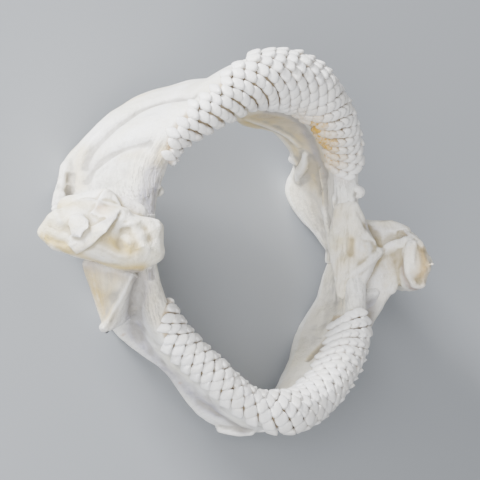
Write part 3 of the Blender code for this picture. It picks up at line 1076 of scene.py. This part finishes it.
def toothPlaces(jaw, side):
    # position, turn, size, kind and tone of each tooth of half a band
    plan = teethPlan
    draw = random.Random(plan["seed"] + side)
    steps = np.linspace(0, 1, 201)
    line = np.array([skinPoint(jaw, t, plan["middle"], crown["height"]) for t in steps])
    length = np.concatenate([[0], np.cumsum(np.linalg.norm(np.diff(line, axis=0), axis=1))])
    end = float(np.interp(jaw["bandEnd"], steps, length))
    i = 0 if side < 0 else 1  # the middle file belongs to one half
    far = i * plan["along"][0] / 2
    while far < end:
        t = float(np.interp(far, length, steps))
        (a, b), (c, d) = plan["along"], plan["across"]
        along, across = a + (b - a) * far / end, c + (d - c) * far / end
        low, high = bandLimits(jaw, t)
        step = math.degrees(across / (curveAt(jaw["front"], t)[3] + crown["height"]))
        shift = 0.5 * (i % 2)
        first = math.ceil((low - plan["middle"]) / step - shift)
        last = math.floor((high - plan["middle"]) / step - shift)
        for row in range(first, last + 1):
            angle = plan["middle"] + (row + shift) * step
            outwards = (angle - low) / (high - low)
            here = skinPoint(jaw, t, angle)
            ahead = skinPoint(jaw, t + 0.01, angle) - skinPoint(jaw, t - 0.01, angle)
            inMiddle = skinPoint(jaw, t + 0.01, plan["middle"]) - skinPoint(jaw, t - 0.01, plan["middle"])
            stretch = np.linalg.norm(ahead) / np.linalg.norm(inMiddle)
            up = here - frameAt(jaw, t)[0][:3] if angle > -90 else -frameAt(jaw, t)[3]
            x, z = ahead * (side, 1, 1), up * (side, 1, 1)
            x /= np.linalg.norm(x)
            z -= x * (z @ x)
            z /= np.linalg.norm(z)
            outside = (skinPoint(jaw, t, angle + 3) - skinPoint(jaw, t, angle - 3)) * (side, 1, 1)
            y = np.cross(z, x)
            if y @ outside < 0:
                x, y = -x, -y
            tips = np.array(tipsPoint)
            tipX, tipY = tips @ x, tips @ y
            slope = math.radians(plan["tilt"]) * min(math.hypot(tipX, tipY), 1)
            turn = round(math.atan2(tipY, tipX) / (2 * math.pi / crownTurns)) % crownTurns
            hinge = Vector(x * -tipY + y * tipX).normalized()
            tilt = Matrix.Rotation(-slope, 3, hinge)
            x, y, z = [np.array(tilt @ Vector(v)) for v in (x, y, z)]
            here = here * (side, 1, 1)
            for way in (x, y):
                here = here + way * draw.uniform(-1, 1) * plan["jitter"]
            pointed = outwards > plan["outerFrom"]
            if not pointed and outwards < plan["innerTo"]:
                pointed = draw.random() < plan["innerShare"]
            style = 2 if pointed else draw.randrange(2)
            style += len(crownStyles) // 2 if jaw["front"][0][1] < 0 else 0  # the lower jaw's come last
            wide = min(stretch, plan["widest"]) * along / crown["pitch"][0] * draw.uniform(*plan["widths"])
            deep = across / crown["pitch"][1] * draw.uniform(*plan["widths"])
            size = (wide, deep, draw.uniform(*plan["heights"]))
            yield here, (x, y, z), size, turn * len(crownStyles) + style, draw.random()
        far += along / 2
        i += 1


def toothTree():
    tree = bpy.data.node_groups.new("toothBand", "GeometryNodeTree")
    face = tree.interface
    face.new_socket("Geometry", in_out="INPUT", socket_type="NodeSocketGeometry")
    for label, kind, value in (
        ("Crown Kinds", "NodeSocketCollection", None),
        ("Crown Size", "NodeSocketFloat", 1.0),
        ("Crown Height", "NodeSocketFloat", 1.0),
        ("Tilt", "NodeSocketFloat", 0.08),
        ("Seed", "NodeSocketInt", 3),
        ("Enamel", "NodeSocketMaterial", None),
    ):
        socket = face.new_socket(label, in_out="INPUT", socket_type=kind)
        if value is not None:
            socket.default_value = value
    face.new_socket("Geometry", in_out="OUTPUT", socket_type="NodeSocketGeometry")
    nodes, links = tree.nodes, tree.links

    def add(kind, settings=None, values=None):
        node = nodes.new(kind)
        for key, value in (settings or {}).items():
            setattr(node, key, value)
        for key, value in (values or {}).items():
            if isinstance(value, bpy.types.NodeSocket):
                links.new(value, node.inputs[key])
            else:
                node.inputs[key].default_value = value
        return node

    def named(name, kind):
        node = add("GeometryNodeInputNamedAttribute", {"data_type": kind}, {"Name": name})
        return node.outputs["Attribute"]

    given = add("NodeGroupInput").outputs
    turn, size = named("turn", "FLOAT_VECTOR"), named("size", "FLOAT_VECTOR")
    kind = named("kind", "INT")
    crowns = add(
        "GeometryNodeCollectionInfo",
        {"transform_space": "ORIGINAL"},
        {"Collection": given["Crown Kinds"], "Separate Children": True, "Reset Children": True},
    )
    rotation = add("FunctionNodeEulerToRotation", None, {"Euler": turn}).outputs[0]
    least = add("ShaderNodeMath", {"operation": "MULTIPLY"}, {0: given["Tilt"], 1: -1.0}).outputs[0]
    lows = add("ShaderNodeCombineXYZ", None, {0: least, 1: least, 2: least}).outputs[0]
    most = given["Tilt"]
    highs = add("ShaderNodeCombineXYZ", None, {0: most, 1: most, 2: most}).outputs[0]
    limits = {"Min": lows, "Max": highs, "Seed": given["Seed"]}
    drawn = add("FunctionNodeRandomValue", {"data_type": "FLOAT_VECTOR"}, limits)
    tilt = add("FunctionNodeEulerToRotation", None, {"Euler": drawn.outputs[0]}).outputs[0]
    turns = {"Rotation": rotation, "Rotate By": tilt}
    turned = add("FunctionNodeRotateRotation", {"rotation_space": "LOCAL"}, turns)
    wide = given["Crown Size"]
    spread = add("ShaderNodeCombineXYZ", None, {0: wide, 1: wide, 2: given["Crown Height"]})
    scale = add("ShaderNodeVectorMath", {"operation": "MULTIPLY"}, {0: size, 1: spread.outputs[0]}).outputs[0]
    placed = add(
        "GeometryNodeInstanceOnPoints",
        None,
        {
            "Points": given["Geometry"],
            "Instance": crowns.outputs[0],
            "Pick Instance": True,
            "Instance Index": kind,
            "Rotation": turned.outputs[0],
            "Scale": scale,
        },
    )
    real = add("GeometryNodeRealizeInstances", None, {"Geometry": placed.outputs[0]})
    dressed = add("GeometryNodeSetMaterial", None, {"Geometry": real.outputs[0], "Material": given["Enamel"]})
    out = add("NodeGroupOutput")
    links.new(dressed.outputs[0], out.inputs[0])
    return tree


def spotOf(place):
    # where the picture shows a point of the floor's frame
    away = place - np.array(viewPoint)
    depth = -away @ np.array(viewBack)
    perPixel = view["sensor"] / view["lens"] / view["size"]
    across, up = [away @ np.array(axis) / depth / perPixel for axis in (viewRight, viewUp)]
    return view["size"] / 2 + across, view["size"] / 2 - up


def toothBand(name, jaws, kinds, tree, settings, stains):
    teeth = [tooth for side, jaw in jaws.items() for tooth in toothPlaces(jaw, side)]
    places = toFloor([tooth[0] for tooth in teeth])
    mesh = bpy.data.meshes.new(name + "Points")
    mesh.from_pydata([tuple(p) for p in places], [], [])
    lean = Matrix.Rotation(pose["lean"], 3, "X")
    turns = []
    for tooth in teeth:
        x, y, z = [Vector(v) for v in tooth[1]]
        turns.append((lean @ Matrix((x, y, z)).transposed()).to_euler())
    layer = mesh.attributes.new("turn", "FLOAT_VECTOR", "POINT")
    layer.data.foreach_set("vector", np.array(turns, np.float32).ravel())
    layer = mesh.attributes.new("size", "FLOAT_VECTOR", "POINT")
    layer.data.foreach_set("vector", np.array([tooth[2] for tooth in teeth], np.float32).ravel())
    layer = mesh.attributes.new("kind", "INT", "POINT")
    layer.data.foreach_set("value", [tooth[3] for tooth in teeth])
    paint(mesh, "tone", [tooth[4] for tooth in teeth])
    stain = np.zeros(len(teeth))
    for x, y, radius, amount in stains:
        for i, place in enumerate(places):
            px, py = spotOf(place)
            stain[i] = max(stain[i], amount * math.exp(-((px - x) ** 2 + (py - y) ** 2) / radius**2))
    paint(mesh, "stain", stain)
    carrier = newObject(name + "Points", mesh)
    modifier = carrier.modifiers.new("teeth", "NODES")
    modifier.node_group = tree
    sockets = {item.name: item.identifier for item in tree.interface.items_tree if item.in_out == "INPUT"}
    for label, value in {**settings, "Crown Kinds": kinds, "Enamel": enamel}.items():
        modifier[sockets[label]] = value
    depsgraph = bpy.context.evaluated_depsgraph_get()
    made = bpy.data.meshes.new_from_object(carrier.evaluated_get(depsgraph))
    carrier.modifiers.clear()
    bpy.data.objects.remove(carrier)
    made.name = name
    obj = newObject(name, made)
    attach(obj, "root")
    made.calc_loop_triangles()
    print(name, len(teeth), "teeth,", len(made.loop_triangles), "triangles")


kinds = crownKinds()
tree = toothTree()
# Orange stains: a spot of the picture, reach in its pixels, amount
orange = [(313, 128, 12, 1.9), (326, 142, 11, 1.4), (334, 158, 10, 0.9), (298, 112, 9, 0.5)]
toothBand("teethUpper", upperJaws, kinds, tree, {"Tilt": 0.08, "Seed": 3}, orange)
toothBand("teethLower", lowerJaws, kinds, tree, {"Tilt": 0.08, "Seed": 4}, [])

# Joints
# Hulls of balls: a spot of the picture, mm towards the camera from the anchor, radius in mm
jointRight = {
    "anchor": (-45.9, -1.2, 1.4),
    "hulls": [
        [
            (44, 232, 0.0, 1.5), (56, 220, 1.5, 2.2), (58, 241, 1.5, 2.3), (88, 212, 0.5, 3.0),
            (92, 244, 2.0, 3.6), (120, 222, 2.5, 3.4), (118, 250, 2.0, 3.6), (104, 232, 4.0, 3.4),
        ],
        [
            (104, 222, 1.5, 3.0), (128, 226, 3.2, 2.6), (150, 232, 1.5, 3.2), (150, 250, 1.5, 3.2),
            (136, 260, 1.5, 3.0), (112, 256, 1.0, 2.6), (134, 244, 3.6, 3.2), (90, 246, 0.0, 2.6),
        ],
        [
            (70, 208, -4.0, 3.0), (107, 192, -2.0, 1.0), (138, 214, -2.0, 2.2), (120, 236, -2.0, 4.0),
            (76, 232, -2.0, 4.0),
        ],
        [
            (60, 228, -5.0, 2.0), (88, 226, -9.0, 4.0), (120, 226, -10.0, 4.5), (140, 246, -7.0, 4.0),
            (96, 250, -5.0, 2.6),
        ],
    ],
    "cords": [
        cord([(119, 226), (128, 225), (140, 221)], [0.5, 1.0, 0.6], sink=0.45),
        cord([(55, 209), (58, 216), (61, 223)], [0.9, 1.1, 0.6], sink=0.4),
        cord([(136, 250), (142, 246), (148, 250), (146, 258)], [0.6, 1.2, 1.2, 0.6], sink=0.5),
        cord([(98, 246), (108, 250), (120, 256), (132, 256)], [0.5, 0.8, 0.8, 0.5], sink=0.5),
    ],
    "flaps": [
        flap(
            [(69, 236), (86, 228), (103, 220), (118, 216), (108, 232), (92, 246), (77, 254), (70, 246)],
            [0.4, 0.9, 0.9, 1.1, 1.4, 1.4, 1.1, 0.7],
        ),
        flap(
            [(67, 225), (72, 217), (82, 215), (89, 220), (90, 228), (84, 232), (81, 238), (72, 236)],
            [0.7, 1.0, 1.2, 1.5, 2.2, 2.0, 2.2, 1.3],
        ),
        flap(
            [(106, 187), (117, 195), (122, 208), (115, 218), (99, 216), (90, 213), (97, 202)],
            [2.0, 1.2, 0.7, 0.9, 0.7, 1.0, 1.6],
        ),
    ],
    "strokes": [
        # the lump's lower edge: its tan, with painted shade on the underside
        stroke(
            [(80, 260), (96, 267), (116, 271), (138, 272)],
            1.2, height=-0.2, facing=-1.0, tan=0.5, shade=0.9,
        ),
        stroke([(66, 250), (84, 257), (104, 264), (124, 268), (142, 268)], 1.5, facing=-1.0, tan=0.9),
        stroke([(42, 236), (54, 244), (66, 249)], 1.2, facing=-1.0, tan=0.8),
        stroke([(60, 206), (74, 204), (90, 204)], 1.6, facing=-1.0, tan=0.5),
        stroke([(104, 246), (122, 244), (130, 250)], 2.4, tan=0.35),
        stroke([(98, 206), (106, 203)], 1.3, height=-0.6, stain=0.9),
        stroke([(103, 212), (114, 206)], 1.6, height=-0.3, tan=0.6),
        stroke([(108, 240), (118, 245), (130, 250)], 1.6, height=-0.5, tan=0.6),
        stroke([(128, 231), (134, 239), (137, 248)], 1.2, height=-0.5, tan=0.4),
        stroke([(146, 228), (150, 238)], 1.2, height=-0.4, tan=0.3),
        stroke([(44, 238), (56, 242), (68, 243)], 1.0, height=-0.3, tan=0.5),
        stroke([(50, 226), (60, 230), (68, 228)], 1.2, height=-0.3, tan=0.2),
        stroke([(118, 193), (130, 204), (140, 213)], 1.4, height=-0.3, shade=0.4),
        stroke([(90, 221), (104, 221), (117, 217)], 0.7, shade=0.5),
    ],
}
jointLeft = {
    "anchor": (31.8, -2, 0),
    "hulls": [
        [
            (350, 232, 0.0, 3.0), (368, 228, -1.5, 1.6), (390, 225, -2.0, 1.4), (405, 232, -2.0, 1.4),
            (404, 252, -3.0, 1.6), (398, 270, -3.0, 1.5), (391, 288, -3.0, 1.5), (350, 285, -1.0, 3.0),
        ],
        [
            (332, 240, 1.4, 1.0), (340, 208, 2.6, 1.2), (354, 206, 4.0, 1.2), (364, 226, 3.0, 1.4),
            (377, 252, 0.8, 1.2), (366, 270, 3.2, 1.2), (355, 298, 4.0, 1.2), (341, 294, 3.0, 1.2),
        ],
        [
            (352, 275, -1.0, 3.0), (384, 293, -2.6, 1.5), (374, 303, -2.6, 1.5), (368, 319, -2.6, 1.4),
            (363, 331, -3.0, 1.5), (352, 312, -2.0, 2.6),
        ],
        [
            (414, 251, 1.0, 2.6), (416, 268, 2.0, 3.4), (415, 280, 0.5, 2.8), (423, 265, -2.0, 2.2),
            (407, 240, -7.0, 2.4), (410, 272, -8.0, 4.2), (403, 277, -12.0, 3.4),
            (410, 254, -16.0, 3.6), (406, 254, -22.0, 1.6),
        ],
        [
            (396, 236, -3.0, 2.0), (410, 244, -1.0, 2.4), (405, 268, -8.0, 3.0), (384, 268, -8.0, 3.0),
            (392, 244, -9.0, 3.0),
        ],
    ],
    "cords": [
        cord(
            [(345, 278), (357, 271), (369, 263), (379, 254), (392, 246), (405, 241)],
            [0.5, 0.9, 1.1, 1.5, 2.0, 1.9], sink=0.35,
        ),
        cord([(354, 212), (359, 224), (367, 234), (376, 242)], [0.8, 1.5, 1.8, 1.0], sink=0.5),
        cord(
            [(411, 240), (409, 252), (408, 266), (410, 280), (417, 287), (424, 285)],
            [1.0, 1.3, 1.4, 1.4, 1.4, 1.0], sink=0.3,
        ),
        cord([(404, 232), (411, 237), (419, 242), (425, 249)], [1.0, 1.0, 1.1, 0.9], sink=0.4),
        cord([(415, 243), (413, 254), (414, 262)], [0.9, 0.9, 0.6], sink=0.1),
        cord([(429, 258), (432, 264)], [0.6, 0.5], sink=0.0),
    ],
    "flaps": [],
    "strokes": [
        stroke([(368, 226), (376, 231)], 1.6, height=-0.5, shade=0.8),
        stroke([(402, 229), (405, 236)], 0.9, height=-0.6, shade=1.0),
        stroke([(376, 238), (384, 236), (392, 234)], 2.0, height=-0.6, shade=0.2),
        stroke([(352, 241), (351, 252)], 1.1, height=-0.8, taper=0, tan=0.9, shade=0.3),
        # painted shadow left of and beneath the lobe's rim, grey with some brown
        stroke(
            [(401, 262), (403, 276), (410, 289), (422, 291)],
            1.6, height=-0.4, facing=-1.0, shade=1.0, stain=0.35,
        ),
        stroke([(424, 252), (425, 264), (422, 278)], 2.0, height=-0.5, facing=-1.0, stain=0.6, tan=0.9),
        stroke([(370, 280), (385, 270), (395, 262)], 3.0, height=-0.3, shade=0.15),
        stroke([(372, 306), (369, 326)], 1.7, height=-0.4, shade=0.9),
        stroke([(343, 216), (344, 240), (343, 280)], 3.0, fibre=0.7, tan=0.2),
    ],
}


# Voxels in mm, rounds of smoothing, and the tan patches: their size in mm, strength and limit
jointSkin = {"voxel": 0.3, "smooth": 7, "patch": 8, "tan": 0.2, "most": 0.3}


def jointPiece(name, node, details, seed):
    bm = bmesh.new()
    for balls in details["hulls"]:
        placed = [(*abreast(x, y, details["anchor"], lift), radius) for x, y, lift, radius in balls]
        addTo(bm, hullOf(placed))
    tree = skinTree(bm)
    addFlaps(bm, tree, details["flaps"])
    addCords(bm, tree, details["cords"])
    mesh = solidify(name, bm, jointSkin["voxel"], jointSkin["smooth"])
    points = getPoints(mesh)
    layer = mesh.attributes.new("lay", "FLOAT_VECTOR", "POINT")
    layer.data.foreach_set("vector", (points[:, [1, 0, 2]] / 1000).astype(np.float32).ravel())
    for key in paints:
        paint(mesh, key, np.zeros(len(points)))
    patches = ripple(points, jointSkin["patch"], seed + 2) * jointSkin["tan"]
    paint(mesh, "tan", np.clip(patches, 0, jointSkin["most"]))
    swell(mesh, points, seed, [(9, 0.16), (4, 0.05)])
    pressStrokes(mesh, details["strokes"])
    paintShadeAndHighlight(mesh)
    return finishPiece(mesh, name, tissue, [node])


jointPiece("jointTissueRight", "jaw_joint_right", jointRight, 21)
jointPiece("jointTissueLeft", "jaw_joint_left", jointLeft, 31)

# Floor and light
studio = {
    "floor": (0.36, 0.38, 0.41),
    "sky": 0.55,
    "aim": (0, 0, 0.015),
    # watts, and m for the rest: the lamp's side, and its place from the jaw along the picture's axes
    "keyLight": {"power": 18.5, "size": 0.22, "up": 0.55, "right": -0.38, "back": 0.32},
    "fillLight": {"power": 9, "size": 0.6, "up": -0.1, "right": -0.2, "back": 0.75},
}


def addFloor():
    bm = bmesh.new()
    bmesh.ops.create_grid(bm, x_segments=1, y_segments=1, size=1.5)
    mesh = bpy.data.meshes.new("floor")
    bm.to_mesh(mesh)
    bm.free()
    f = Finish("paleFloor", Roughness=0.9, Specular_IOR_Level=0.1)
    f.shader.inputs["Base Color"].default_value = (*studio["floor"], 1)
    mesh.materials.append(f.material)
    newObject("floor", mesh)


def addLight(name):
    light = studio[name]
    data = bpy.data.lights.new(name, "AREA")
    data.energy, data.size = light["power"], light["size"]
    lamp = bpy.data.objects.new(name, data)
    place = viewAim + viewUp * light["up"] + viewRight * light["right"] + viewBack * light["back"]
    lamp.location = place
    lamp.rotation_euler = (Vector(studio["aim"]) - place).to_track_quat("-Z", "Y").to_euler()
    bpy.context.collection.objects.link(lamp)


def addSky():
    world = bpy.data.worlds.new("studio")
    world.use_nodes = True
    ground = world.node_tree.nodes["Background"]
    ground.inputs["Color"].default_value = (1, 1, 1, 1)
    ground.inputs["Strength"].default_value = studio["sky"]
    bpy.context.scene.world = world


addFloor()
addLight("keyLight")
addLight("fillLight")
addSky()
addCamera()
print("studio ready")
